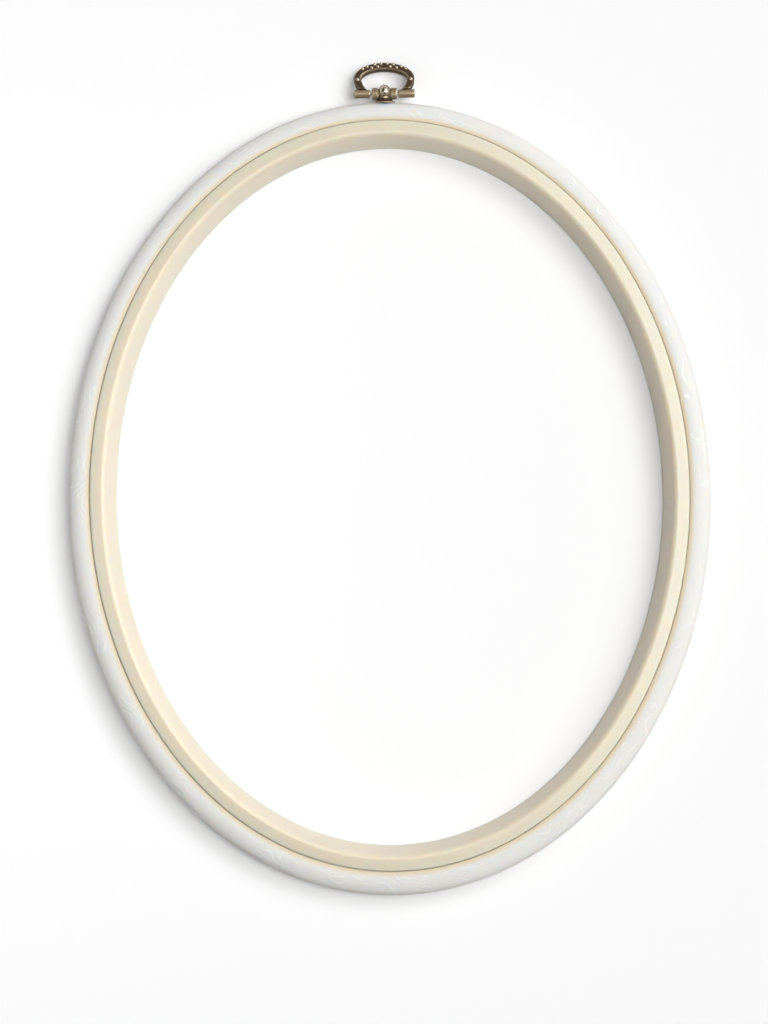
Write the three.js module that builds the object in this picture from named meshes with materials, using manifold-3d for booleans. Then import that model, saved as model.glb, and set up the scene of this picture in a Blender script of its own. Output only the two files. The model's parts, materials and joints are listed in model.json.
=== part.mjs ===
// Oval flexible embroidery hoop, lying on its back with its hanger at the top.
// A soft outer ring grips a rigid inner ring, and a cast bail swings on a post screwed to the
// outer ring. Sizes are in millimetres: X runs across the hoop, Y towards the hanger, Z out of
// the front.

import * as THREE from 'three';
import { mergeVertices } from 'three/addons/utils/BufferGeometryUtils.js';
import Module from 'manifold-3d';

const booleans = await Module();
booleans.setup();

// Fabric window, at the back edge of the inner ring
const windowWidth = 166;
const windowHeight = 212;

// Inner ring section: inside wall, ridge, sloping face and lip
const ridgeHeight = 10;
const insideWallLean = 3.3;
const innerRingWall = 5;
const lipOverhang = 2.75;
const faceDrop = 0.9;
const lipThickness = 1.5;
const ridgeRadius = 1.3;
const lipEdgeRadius = 0.55;
const lipUnderRadius = 0.2;
const innerRingBackRadius = 0.4;

// Room for the stretched fabric between the two rings
const fabricGap = 0.3;
const lipSideGap = 0.25;

// Outer ring section: a rounded D with a rebate under the lip. Its outside lies lower than its
// bore by the shift, so the wall is thinnest under the hanger.
const outerRingWall = 9.1;
const outsideShift = 0.75;
const widestHeight = 4.8;
const crownHeight = 8.7;
const crownRun = 4.8;
const backRoundRun = 3;
const rebateEdgeRadius = 0.3;
const boreEdgeRadius = 0.4;

// Cast post: ball head, cross barrel, waist, flared foot and spigot
const hingeRise = 2.75;
const ballRadius = 1.95;
const ballFrontRadius = 2.45;
const ballCentreRise = 0.5;
const ballTop = 2.8;
const ballBottom = 1.4;
const barrelLength = 7.65;
const barrelRadius = 1.8;
const barrelFrontRadius = 1.2;
const collarLength = 1.75;
const collarStep = 0.25;
const waistRadius = 1.55;
const waistDrop = 0.7;
const footWidth = 6.4;
const footDepth = 4.8;
const footRim = 0.3;
const flareHollow = 0.25;
const footBite = 0.3;
const spigotRadius = 1.6;
const spigotLength = 3;

// Hinge pin and the bail's two sleeves
const pinRadius = 0.5;
const pinRunning = 0.08;
const pinDome = 0.15;
const sleeveRadius = 1.27;
const sleeveOverhang = 0.045;
const sleeveSideGap = 0.42;
const sleeveChamfer = 0.15;

// Cast bail: an oval band on two feet, with beads on its front
const bailWidth = 18.4;
const bailHeight = 10.3;
const bailBand = 2.2;
const bailThickness = 2.6;
const bailWidestRise = 4.9;
const bailEdge = 0.3;
const footRise = 1;
const outerLegDrop = 7;
const innerLegDrop = 5.9;
const beadRadius = 0.52;
const beadStep = 0.96;
const zigzagBeads = 4;
const singleBeadStep = 1.52;
const singleBeads = 2;
const beadInset = 0.45;
const beadRowGap = 0.95;
const sideBeadRadius = 0.62;
const sideBeadDrop = 0.6;
const beadSink = 0.15;
const tableGap = 0.02;

// Fixing screw, driven from inside the outer ring up into the post
const screwRadius = 1;
const screwClearance = 0.06;
const screwHeadRadius = 2;
const screwHeadThickness = 1.3;
const screwHeadSink = 0.2;
const screwHeadGap = 0.2;
const screwTipGap = 0.35;
const crossWidth = 0.45;
const crossDepth = 0.6;
const crossSpan = 2.2;
const seatGap = 0.05;

// Fineness of the facets
const ovalSteps = 96;
const turnedSteps = 28;
const smallTurnedSteps = 16;
const crownSteps = 9;
const backRoundSteps = 5;
const archSteps = 26;
const legSteps = 4;
const beadSides = 8;
const arcTolerance = 0.02;

// Places that follow from the sizes, outward from the window's edge
const boreOutward = innerRingWall + fabricGap;
const lipOutward = innerRingWall + lipOverhang;
const rebateOutward = lipOutward + lipSideGap;
const crestOutward = boreOutward + outerRingWall;
const lipUnderside = ridgeHeight - faceDrop - lipThickness;
const rebateFloor = lipUnderside - fabricGap;

// Places along the line of the post, from the middle of the hoop
const boreY = windowHeight / 2 + boreOutward;
const crestY = windowHeight / 2 + crestOutward - outsideShift;
const hingeY = crestY + hingeRise;
const footSeatY = crestY - footBite;
const screwHeadSeatY = boreY + screwHeadSink + screwHeadThickness;
const pinBore = pinRadius + pinRunning;
const sleeveStart = barrelLength / 2 + sleeveSideGap;
const sleeveEnd = bailWidth / 2 + sleeveOverhang;
const footBottom = footSeatY + seatGap - hingeY;

// A fillet between two straight stretches, as points on its arc
function roundCorner(before, corner, after, radius) {
  if (radius === 0) {
    return [corner.clone()];
  }
  const towardsBefore = before.clone().sub(corner).normalize();
  const towardsAfter = after.clone().sub(corner).normalize();
  const halfAngle = towardsBefore.angleTo(towardsAfter) / 2;
  const turn = Math.PI - 2 * halfAngle;
  const bisector = towardsBefore.clone().add(towardsAfter).normalize();
  const centre = corner.clone().addScaledVector(bisector, radius / Math.sin(halfAngle));
  const start = corner.clone().addScaledVector(towardsBefore, radius / Math.tan(halfAngle));
  const steps = Math.max(2, Math.ceil(turn / Math.sqrt((8 * arcTolerance) / radius)));
  const direction = Math.sign(towardsAfter.cross(towardsBefore));
  return Array.from({ length: steps + 1 }, (unused, step) =>
    start.clone().rotateAround(centre, (direction * turn * step) / steps));
}

// A closed outline from corners, each given as [outward, height, fillet radius]
function filletedOutline(corners) {
  const points = corners.map(([x, y]) => new THREE.Vector2(x, y));
  return corners.flatMap(([, , radius], at) => {
    const before = points.at(at - 1);
    const after = points[(at + 1) % points.length];
    return roundCorner(before, points[at], after, radius);
  });
}

// A point on the window's oval, moved outward square to it
function ovalPoint(turn, outward) {
  const halfWidth = windowWidth / 2;
  const halfHeight = windowHeight / 2;
  const square = new THREE.Vector2(halfHeight * Math.cos(turn), halfWidth * Math.sin(turn)).normalize();
  return new THREE.Vector2(halfWidth * Math.cos(turn), halfHeight * Math.sin(turn))
    .addScaledVector(square, outward);
}

// A ring with one section all the way round the oval: the outline runs anticlockwise. The drift
// carries a point of the section outward by its own amount at each turn.
function ovalRing(outline, drift = () => 0) {
  const positions = [];
  const faces = [];
  const count = outline.length;
  for (let step = 0; step < ovalSteps; step += 1) {
    const turn = (2 * Math.PI * step) / ovalSteps;
    const nextStep = (step + 1) % ovalSteps;
    outline.forEach((place, at) => {
      const point = ovalPoint(turn, place.x + drift(place.x, turn));
      positions.push(point.x, point.y, place.y);
      const next = (at + 1) % count;
      const here = step * count;
      const there = nextStep * count;
      faces.push(here + at, there + next, here + next);
      faces.push(here + at, there + at, there + next);
    });
  }
  const geometry = new THREE.BufferGeometry();
  geometry.setAttribute('position', new THREE.Float32BufferAttribute(positions, 3));
  geometry.setIndex(faces);
  return geometry;
}

// A closed mesh as a solid that can be joined and cut
function toSolid(geometry) {
  const bare = geometry.clone();
  bare.deleteAttribute('normal');
  bare.deleteAttribute('uv');
  const merged = mergeVertices(bare, 1e-4);
  return new booleans.Manifold(new booleans.Mesh({
    numProp: 3,
    vertProperties: new Float32Array(merged.attributes.position.array),
    triVerts: new Uint32Array(merged.index.array),
  }));
}

function toGeometry(solid) {
  const mesh = solid.getMesh();
  const geometry = new THREE.BufferGeometry();
  geometry.setAttribute('position', new THREE.BufferAttribute(new Float32Array(mesh.vertProperties), 3));
  geometry.setIndex(new THREE.BufferAttribute(new Uint32Array(mesh.triVerts), 1));
  return geometry;
}

// A turned solid on the Y axis: the profile runs up from the axis and back to it
function turned(profile, steps = turnedSteps) {
  const points = profile.map(([radius, height]) => new THREE.Vector2(radius, height));
  return new THREE.LatheGeometry(points, steps);
}

// A turned rod with chamfered ends, laid along X from the hinge's middle
function rodAlongX(radius, start, end, chamfer, steps) {
  const geometry = turned([
    [0, start],
    [radius - chamfer, start],
    [radius, start + chamfer],
    [radius, end - chamfer],
    [radius - chamfer, end],
    [0, end],
  ], steps);
  geometry.rotateZ(-Math.PI / 2);
  return geometry;
}

function rodAlongY(radius, start, end, steps = turnedSteps) {
  return turned([[0, start], [radius, start], [radius, end], [0, end]], steps);
}

// Inner ring: the wall leans outward from its back edge to the ridge, so the window widens
// towards the front, and the lip's face falls away outward
function innerRing() {
  return ovalRing(filletedOutline([
    [0, 0, innerRingBackRadius],
    [innerRingWall, 0, innerRingBackRadius],
    [innerRingWall, lipUnderside, 0],
    [lipOutward, lipUnderside, lipUnderRadius],
    [lipOutward, ridgeHeight - faceDrop, lipEdgeRadius],
    [insideWallLean, ridgeHeight, ridgeRadius],
  ]));
}

// Outer ring section: from the bore's back corner, round the back and side, over the crown
// and down into the rebate
function outerRingOutline() {
  const crownOutward = crestOutward - crownRun;
  const backOutward = crestOutward - backRoundRun;
  const crownRise = crownHeight - widestHeight;
  const crownEnd = Math.acos((rebateOutward - crownOutward) / crownRun);
  const backRound = new THREE.EllipseCurve(
    backOutward, widestHeight, backRoundRun, widestHeight, -Math.PI / 2, 0);
  const crown = new THREE.EllipseCurve(
    crownOutward, widestHeight, crownRun, crownRise, 0, crownEnd);
  const crownPoints = crown.getPoints(crownSteps).slice(1);
  const rebateTop = crownPoints.pop();
  const corners = [
    [boreOutward, rebateFloor, boreEdgeRadius],
    [boreOutward, 0, boreEdgeRadius],
  ].map(([x, y, radius]) => ({ point: new THREE.Vector2(x, y), radius }));
  const rebateCorner = new THREE.Vector2(rebateOutward, rebateFloor);
  const backPoints = backRound.getPoints(backRoundSteps);
  return [
    ...roundCorner(crownPoints.at(-1), rebateTop, rebateCorner, rebateEdgeRadius),
    rebateCorner,
    ...roundCorner(rebateCorner, corners[0].point, corners[1].point, corners[0].radius),
    ...roundCorner(corners[0].point, corners[1].point, backPoints[0], corners[1].radius),
    ...backPoints,
    ...crownPoints,
  ];
}

// The outside of the outer ring drifts towards the far end, and its bore and rebate stay
function outsideDrift(outward, turn) {
  const share = Math.max(0, outward - rebateOutward) / (crestOutward - rebateOutward);
  return -outsideShift * share * Math.sin(turn);
}

// The hole through the outer ring: a seat that the foot bites, a socket for the spigot, a
// clearance hole for the screw and a recess for its head
function postCutters() {
  const outside = hingeY;
  const footSeat = rodAlongY(footWidth / 2 + seatGap, footSeatY, outside);
  footSeat.scale(1, 1, footDepth / footWidth);
  const socketFloor = footSeatY - spigotLength - seatGap;
  const cutters = [
    footSeat,
    rodAlongY(spigotRadius + seatGap, socketFloor, outside),
    rodAlongY(screwRadius + screwClearance, boreY - outerRingWall, outside),
    rodAlongY(screwHeadRadius + screwHeadGap, boreY - outerRingWall, screwHeadSeatY + seatGap),
  ];
  return cutters.map((cutter) => toSolid(cutter.translate(0, 0, widestHeight)));
}

function outerRing() {
  const ring = toSolid(ovalRing(outerRingOutline(), outsideDrift));
  return toGeometry(postCutters().reduce((rest, cutter) => rest.subtract(cutter), ring));
}

// Ball head of the post: the upper and lower halves have their own heights, and the ball is
// deeper from front to back, so that it stands proud of the barrel
function ballHead() {
  const upper = new THREE.EllipseCurve(
    0, ballCentreRise, ballRadius, ballTop - ballCentreRise, 0, Math.PI / 2);
  const lower = new THREE.EllipseCurve(
    0, ballCentreRise, ballRadius, ballBottom + ballCentreRise, -Math.PI / 2, 0);
  const halfSteps = turnedSteps / 4;
  const profile = [...lower.getPoints(halfSteps), ...upper.getPoints(halfSteps).slice(1)];
  profile[0].x = 0;
  profile.at(-1).x = 0;
  return new THREE.LatheGeometry(profile, turnedSteps).scale(1, 1, ballFrontRadius / ballRadius);
}

// Flared foot: a trumpet curve from the waist out to a thin rim, narrower front to back
function flaredFoot() {
  const rimTop = footBottom + footRim;
  const halfWidth = footWidth / 2;
  const flare = new THREE.QuadraticBezierCurve(
    new THREE.Vector2(halfWidth, rimTop),
    new THREE.Vector2((halfWidth + waistRadius) / 2 - flareHollow, (rimTop - waistDrop) / 2 - flareHollow),
    new THREE.Vector2(waistRadius, -waistDrop));
  const flarePoints = flare.getPoints(turnedSteps / 4).map(({ x, y }) => [x, y]);
  const foot = turned([[0, footBottom], [halfWidth, footBottom], ...flarePoints, [0, -waistDrop]]);
  return foot.scale(1, 1, footDepth / footWidth);
}

// The barrel is a collar at each end of a slimmer core, and is flatter from front to back than
// the ball and the waist, which stand proud of it
function crossBarrel() {
  const half = barrelLength / 2;
  const collarEnd = half - collarLength;
  const core = barrelRadius - collarStep;
  const geometry = turned([
    [0, -half],
    [barrelRadius - sleeveChamfer, -half],
    [barrelRadius, -half + sleeveChamfer],
    [barrelRadius, -collarEnd],
    [core, collarStep - collarEnd],
    [core, collarEnd - collarStep],
    [barrelRadius, collarEnd],
    [barrelRadius, half - sleeveChamfer],
    [barrelRadius - sleeveChamfer, half],
    [0, half],
  ]);
  return geometry.rotateZ(-Math.PI / 2).scale(1, 1, barrelFrontRadius / barrelRadius);
}

// Post casting, about the hinge's middle, with its pin bore and tapped hole
function hangerPost() {
  const spigot = rodAlongY(spigotRadius, footBottom - spigotLength, -waistDrop);
  const pinHole = rodAlongX(pinBore, -barrelLength, barrelLength, 0, smallTurnedSteps);
  const tappedHole = rodAlongY(
    screwRadius + screwClearance, footBottom - 2 * spigotLength, -pinBore - screwTipGap, smallTurnedSteps);
  const casting = [crossBarrel(), flaredFoot(), spigot]
    .reduce((whole, piece) => whole.add(toSolid(piece)), toSolid(ballHead()));
  return toGeometry(casting.subtract(toSolid(pinHole)).subtract(toSolid(tappedHole)));
}

function hingePin() {
  return rodAlongX(pinRadius, -sleeveEnd - pinDome, sleeveEnd + pinDome, pinDome, smallTurnedSteps);
}

// Fixing screw with a cross recess in its flat head
function fixingScrew() {
  const headSeat = screwHeadSeatY - hingeY;
  const tip = -pinBore - 2 * screwTipGap;
  const shank = rodAlongY(screwRadius, headSeat - screwHeadThickness / 2, tip, smallTurnedSteps);
  const head = rodAlongY(screwHeadRadius, headSeat - screwHeadThickness, headSeat);
  const recess = [new THREE.BoxGeometry(crossSpan, 2 * crossDepth, crossWidth),
    new THREE.BoxGeometry(crossWidth, 2 * crossDepth, crossSpan)];
  const screw = toSolid(head).add(toSolid(shank));
  return toGeometry(recess.reduce((rest, slot) =>
    rest.subtract(toSolid(slot.translate(0, headSeat - screwHeadThickness, 0))), screw));
}

// One edge of the bail's band, from the right foot over the arch to the left foot
function bandEdge(halfWidth, rise, legDrop) {
  const footAngle = Math.asin((bailWidestRise - footRise) / legDrop);
  const stretch = (radius, from, to, steps) =>
    new THREE.EllipseCurve(0, bailWidestRise, halfWidth, radius, from, to).getPoints(steps);
  return [
    ...stretch(legDrop, -footAngle, 0, legSteps),
    ...stretch(rise, 0, Math.PI, archSteps).slice(1),
    ...stretch(legDrop, Math.PI, Math.PI + footAngle, legSteps).slice(1),
  ];
}

function bailBandSolid() {
  const rise = bailHeight - bailWidestRise;
  const outer = bandEdge(bailWidth / 2, rise, outerLegDrop);
  const inner = bandEdge(bailWidth / 2 - bailBand, rise - bailBand, innerLegDrop);
  const band = new THREE.ExtrudeGeometry(new THREE.Shape([...outer, ...inner.reverse()]), {
    depth: bailThickness - 2 * bailEdge,
    bevelThickness: bailEdge,
    bevelSize: bailEdge,
    bevelOffset: -bailEdge,
    bevelSegments: 2,
  });
  return toSolid(band.translate(0, 0, bailEdge - bailThickness / 2));
}

// Beads on the band's front: a zigzag of two rows over the arch with its top left plain, a
// single row below it along the outer edge, and one larger bead on each side
function bailBeads() {
  const beads = [];
  const rise = bailHeight - bailWidestRise;
  const addBeads = (fromTop, inset) => {
    const row = new THREE.EllipseCurve(
      0, bailWidestRise, bailWidth / 2 - inset, rise - inset, 0, Math.PI);
    for (const side of [-1, 1]) {
      beads.push([row.getPointAt(0.5 + (side * fromTop) / row.getLength()), beadRadius]);
    }
  };
  for (let at = 1; at <= zigzagBeads; at += 1) {
    addBeads(at * beadStep, at % 2 === 0 ? beadInset + beadRowGap : beadInset);
  }
  for (let at = 1; at <= singleBeads; at += 1) {
    addBeads(zigzagBeads * beadStep + at * singleBeadStep, beadInset);
  }
  for (const side of [-1, 1]) {
    const middle = side * (bailWidth - bailBand) / 2;
    beads.push([new THREE.Vector2(middle, bailWidestRise - sideBeadDrop), sideBeadRadius]);
  }
  return beads.map(([place, radius]) => {
    const bead = new THREE.SphereGeometry(radius, beadSides, beadSides - 2);
    bead.rotateX(Math.PI / 2);
    return toSolid(bead.translate(place.x, place.y, bailThickness / 2 - beadSink));
  });
}

// Bail casting: band, beads and the two sleeves that turn on the pin
function bail() {
  const sleeves = [-1, 1].map((side) => {
    const ends = [side * sleeveStart, side * sleeveEnd].sort((a, b) => a - b);
    return toSolid(rodAlongX(sleeveRadius, ends[0], ends[1], sleeveChamfer, turnedSteps));
  });
  const casting = [...sleeves, ...bailBeads()].reduce((whole, piece) => whole.add(piece), bailBandSolid());
  const pinHole = rodAlongX(pinBore, -bailWidth, bailWidth, 0, smallTurnedSteps);
  return toGeometry(casting.subtract(toSolid(pinHole)));
}

// How far the bail leans back from the hoop's plane for its tip to lie on the table. A bail
// too short to reach the table hangs straight down.
function restingLean() {
  const trimmed = bailEdge * (1 - Math.SQRT1_2);
  const tip = bailHeight - trimmed;
  const back = bailThickness / 2 - trimmed;
  const fall = Math.min(1, (widestHeight - tableGap) / Math.hypot(tip, back));
  return Math.asin(fall) - Math.atan2(back, tip);
}

const creamPlastic = { color: 0xe6dcc4, roughness: 0.42, metalness: 0 };
const whiteSoftPlastic = { color: 0xf1f1ef, roughness: 0.6, metalness: 0 };
const antiqueBrass = { color: 0x6e5c43, roughness: 0.38, metalness: 0.9 };
const zincPlatedSteel = { color: 0xa9aaa8, roughness: 0.35, metalness: 0.95 };

function piece(name, geometry, finish) {
  const faceted = geometry.index ? geometry : mergeVertices(geometry, 1e-4);
  const mesh = new THREE.Mesh(faceted, new THREE.MeshStandardMaterial({ ...finish, flatShading: true }));
  mesh.name = name;
  return mesh;
}

const swingingBail = new THREE.Group();
swingingBail.rotation.x = -restingLean();
swingingBail.add(piece('bail', bail(), antiqueBrass));

const hanger = new THREE.Group();
hanger.position.set(0, hingeY, widestHeight);
hanger.add(
  piece('hanger_post', hangerPost(), antiqueBrass),
  piece('hinge_pin', hingePin(), antiqueBrass),
  piece('fixing_screw', fixingScrew(), zincPlatedSteel),
  swingingBail,
);

const embroideryHoop = new THREE.Group();
embroideryHoop.add(
  piece('inner_ring', innerRing(), creamPlastic),
  piece('outer_ring', outerRing(), whiteSoftPlastic),
  hanger,
);

// The origin lies under the middle of the whole hoop and its hanger
const middle = new THREE.Box3().setFromObject(embroideryHoop, true).getCenter(new THREE.Vector3());
embroideryHoop.position.set(-middle.x, -middle.y, 0);

export default embroideryHoop;
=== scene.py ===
import json
import math
from functools import partial
from itertools import pairwise
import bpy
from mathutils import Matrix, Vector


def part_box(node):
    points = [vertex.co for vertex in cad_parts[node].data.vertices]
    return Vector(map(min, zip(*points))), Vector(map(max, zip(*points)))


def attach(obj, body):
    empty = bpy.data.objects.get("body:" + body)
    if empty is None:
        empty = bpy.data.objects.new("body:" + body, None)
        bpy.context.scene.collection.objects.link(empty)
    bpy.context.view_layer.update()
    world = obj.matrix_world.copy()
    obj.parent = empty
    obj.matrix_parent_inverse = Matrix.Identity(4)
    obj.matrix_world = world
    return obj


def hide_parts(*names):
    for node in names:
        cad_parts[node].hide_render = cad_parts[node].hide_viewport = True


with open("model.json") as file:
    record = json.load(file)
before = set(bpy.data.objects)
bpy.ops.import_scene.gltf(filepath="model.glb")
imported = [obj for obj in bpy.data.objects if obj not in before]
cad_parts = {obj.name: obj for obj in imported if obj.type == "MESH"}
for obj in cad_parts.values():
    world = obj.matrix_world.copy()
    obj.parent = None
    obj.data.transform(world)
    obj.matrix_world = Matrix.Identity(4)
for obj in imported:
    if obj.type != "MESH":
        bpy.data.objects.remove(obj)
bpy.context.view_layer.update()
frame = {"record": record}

from types import SimpleNamespace

import bmesh
import bpy
import numpy as np
from bpy.props import FloatProperty, FloatVectorProperty, IntProperty, PointerProperty, StringProperty
from bpy.types import NodeSocket, Operator, Panel, PropertyGroup
from mathutils import Matrix, Vector

bl_info = {
    "name": "Oval Embroidery Hoop",
    "version": (1, 0, 0),
    "blender": (4, 5, 0),
    "location": "3D View > Sidebar > Hoop",
    "description": "Builds an oval flexible embroidery hoop with a cast brass hanger on a pale table",
    "category": "Add Mesh",
}

JOINTS = frame["record"]["behaviour"]["joints"]
HINGE = Vector(next(joint["pos_m"] for joint in JOINTS if joint["type"] == "hinge"))
INNER_LOW, INNER_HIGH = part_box("inner_ring")
RINGS_MIDDLE = Vector((0, ((INNER_LOW + INNER_HIGH) / 2).y, 0))

# Lengths in millimetres, as pieces are modelled
SAME_PLACE = 1e-4
CASTING_GRAIN = 0.075  # Voxels that fuse a casting's shells
WEAR_REACH = 0.3  # How far a place stands out when its wear is 1 higher
CUT_PAST = 3  # How far the cutters of the outer ring start inside its bore

RING_STEPS = 180  # Steps of the sweep in each quarter of the oval
WEAR_ROUNDS = 40  # Rounds of smoothing that show what stands out of a casting
X_AXIS, Y_AXIS = (1, 0, 0), (0, 1, 0)

# How rubbed flat places of the castings are, from 0 to 1
BALL_WEAR, COLLAR_WEAR, POST_WEAR = 0.8, 0.55, 0.38
SLEEVE_WEAR, NAIL_WEAR, BAND_WEAR = 0.58, 0.5, 0.34
PIN_WEAR = 0.1

# Settings of nodes, and the sockets of a Mix node of colours, whose names repeat
SMOOTH, COLOURS = {"interpolation_type": "SMOOTHSTEP"}, {"data_type": "RGBA"}
FACTOR, A, B, MIXED = 0, 6, 7, 2


# Sizes and colours, each with its default and description

def mm(length, description):
    return FloatProperty, dict(
        description=description, default=length / 1000, unit="LENGTH", precision=5)


def angle(degrees, description):
    return FloatProperty, dict(description=description, default=math.radians(degrees), subtype="ANGLE")


def spot(metres, description):
    return FloatVectorProperty, dict(
        description=description, default=metres, subtype="TRANSLATION", unit="LENGTH")


def count(total, description):
    return IntProperty, dict(description=description, default=total)


def number(value, description, **kind):
    return FloatProperty, dict(description=description, default=value, **kind)


def colour(code, description):
    return StringProperty, dict(description=description + ", as an sRGB hex code", default=code)


def named(group):
    """Makes a group's properties, and gives each the name of its attribute"""
    for attribute, (kind, settings) in group.__annotations__.items():
        name = attribute.replace("_", " ").capitalize()
        group.__annotations__[attribute] = kind(name=name, **settings)
    return group


@named
class HoopRingSizes(PropertyGroup):
    """Sections of the two rings, measured outward from the window's edge and up from the back"""
    window_width: mm(166, "Window at the inner ring's back edge, side to side")
    window_height: mm(212, "Window at the inner ring's back edge, end to end")
    ridge_height: mm(10, "Height where the inside wall and the face would meet")
    inside_lean: mm(3.3, "Outward lean of the inside wall")
    inner_wall: mm(5, "Thickness of the inner ring below its lip")
    lip_overhang: mm(2.75, "Reach of the lip over the outer ring")
    face_drop: mm(0.9, "Fall of the sloping face from the ridge to the lip")
    lip_thickness: mm(1.5, "Thickness of the lip at its edge")
    ridge_radius: mm(1.31, "Rounding of the ridge")
    lip_radius: mm(0.55, "Rounding of the lip's upper edge")
    lip_under_radius: mm(0.2, "Rounding of the lip's lower edge")
    back_radius: mm(0.4, "Rounding of the back edges")
    fabric_gap: mm(0.3, "Room for the stretched fabric between the rings")
    lip_gap: mm(0.15, "Gap between the lip's edge and the rebate's wall")
    outer_wall: mm(9.095, "Outer ring from its bore to its crest")
    widest_height: mm(4.8, "Height at which the outer ring is widest")
    crown_height: mm(8.7, "Height of the outer ring's crown")
    crown_run: mm(4.8, "From the crown outward to the crest")
    back_run: mm(3, "From the back flat outward to the crest")
    rebate_radius: mm(0.135, "Rounding of the rebate's upper edge")
    outside_shift: mm(0.75, "Outer ring's outside below the middle of its bore")


@named
class HoopHangerSizes(PropertyGroup):
    """Cast hanger, measured from the middle of its hinge"""
    hinge_rise: mm(2.75, "Hinge above the outer ring's crest")
    ball_radius: mm(1.95, "Ball head, side to side")
    ball_front: mm(2.45, "Ball head, front to back")
    ball_centre: mm(0.5, "Ball's middle above the hinge")
    ball_top: mm(2.8, "Ball's top above the hinge")
    ball_bottom: mm(1.4, "Ball's lower end below the hinge")
    barrel_length: mm(7.65, "Cross barrel between the sleeves")
    barrel_radius: mm(1.8, "Collars of the cross barrel, towards the loop")
    barrel_front: mm(1.2, "Collars of the cross barrel, front to back")
    collar_length: mm(1.75, "Collars at the barrel's ends")
    collar_step: mm(0.25, "From the collars down to the barrel's core")
    waist_radius: mm(1.55, "Waist under the ball")
    waist_drop: mm(0.7, "Waist below the hinge")
    foot_width: mm(6.4, "Flared foot, side to side")
    foot_depth: mm(4.8, "Flared foot, front to back")
    foot_rim: mm(0.3, "Thickness of the foot's edge")
    flare_hollow: mm(0.25, "Hollow of the flare in a straight cone")
    foot_bite: mm(0.3, "Foot sunk into the outer ring")
    spigot_radius: mm(1.6, "Spigot in the outer ring")
    spigot_length: mm(3, "Spigot in the outer ring")
    pin_radius: mm(0.5, "Hinge pin")
    pin_running: mm(0.08, "Gap round the hinge pin")
    pin_dome: mm(0.15, "Domed ends of the hinge pin")
    sleeve_radius: mm(1.27, "The bail's two sleeves")
    sleeve_gap: mm(0.42, "Gap between a sleeve and the barrel")
    sleeve_overhang: mm(0.045, "Reach of a sleeve past the band")
    sleeve_chamfer: mm(0.15, "Edges of the sleeves")
    bail_width: mm(18.4, "Loop, side to side")
    bail_height: mm(10.3, "Loop above the hinge")
    bail_band: mm(2.2, "Width of the loop's band")
    bail_thickness: mm(2.6, "Loop, front to back")
    bail_widest: mm(4.9, "Loop's widest place above the hinge")
    bail_edge: mm(0.3, "Edges of the band where it leans on the table")
    bail_rounding: mm(0.5, "Rounding of the cast band's edges")
    bail_foot: mm(1, "Band's feet above the hinge")
    outer_leg: mm(7, "Lower half of the band's outer oval")
    inner_leg: mm(5.9, "Lower half of the band's inner oval")
    bead_radius: mm(0.56, "Beads of the zigzag and of the rows below it")
    bead_step: mm(0.96, "From bead to bead in the zigzag")
    zigzag_beads: count(4, "Beads of the zigzag on each side of the top")
    single_step: mm(1.52, "From bead to bead below the zigzag")
    single_beads: count(2, "Beads in one row below the zigzag")
    bead_inset: mm(0.52, "Outer row from the band's edge")
    bead_row_gap: mm(0.9, "From the outer row to the inner row")
    side_bead_radius: mm(0.68, "The single bead on each side")
    side_bead_drop: mm(0.6, "Side beads below the loop's widest place")
    bead_sink: mm(0.15, "Beads' middles below the band's front")
    table_gap: mm(0.02, "Gap between the loop's tip and the table")


@named
class HoopScrewSizes(PropertyGroup):
    """Fixing screw inside the outer ring"""
    radius: mm(1, "Outside of the thread")
    pitch: mm(0.4, "Rise of the thread in one turn")
    clearance: mm(0.06, "Gap round the screw")
    head_radius: mm(2, "Screw head")
    head_thickness: mm(1.3, "Screw head")
    head_edge: mm(0.18, "Rounding of the head's outer edge")
    head_sink: mm(0.2, "Head below the bore of the outer ring")
    head_gap: mm(0.2, "Gap round the head")
    tip_gap: mm(0.35, "From the screw's tip to the pin bore")
    cross_width: mm(0.45, "Slots of the cross recess")
    cross_depth: mm(0.6, "Slots of the cross recess")
    cross_span: mm(2.2, "Slots of the cross recess")
    seat_gap: mm(0.05, "Gap between seated pieces")


@named
class HoopColours(PropertyGroup):
    """Colours of the materials"""
    cream: colour("e8decb", "Rigid plastic of the inner ring")
    cream_deep: colour("e5d9c4", "Slightly denser patches in the cream plastic")
    vinyl: colour("f3f2f0", "Soft plastic of the outer ring")
    # Painted warm bounce light and shade from the cream lip, on the soft plastic beside it
    painted_lip_bounce: colour("ead9bb", "Soft plastic beside the lip, tanned by the cream plastic")
    # Painted shade on the steep outer side of the soft plastic
    painted_outer_shade: colour("dcd8d3", "Outer side of the soft plastic, soiled by handling")
    vinyl_groove: colour("e6e5e2", "Low places of the moulded grain")
    brass_dark: colour("5a4b3c", "Darkened recesses of the castings")
    brass_worn: colour("a49478", "Rubbed round places of the castings, as the sleeves")
    brass_bright: colour("c6b9a4", "Polished high places of the castings, as the beads")
    steel: colour("c3c5c6", "Zinc plating on the screw")
    steel_cloud: colour("b4b7ba", "Cloudy places of the zinc plating")
    table: colour("f4f4f4", "Floor under the hoop")


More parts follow.
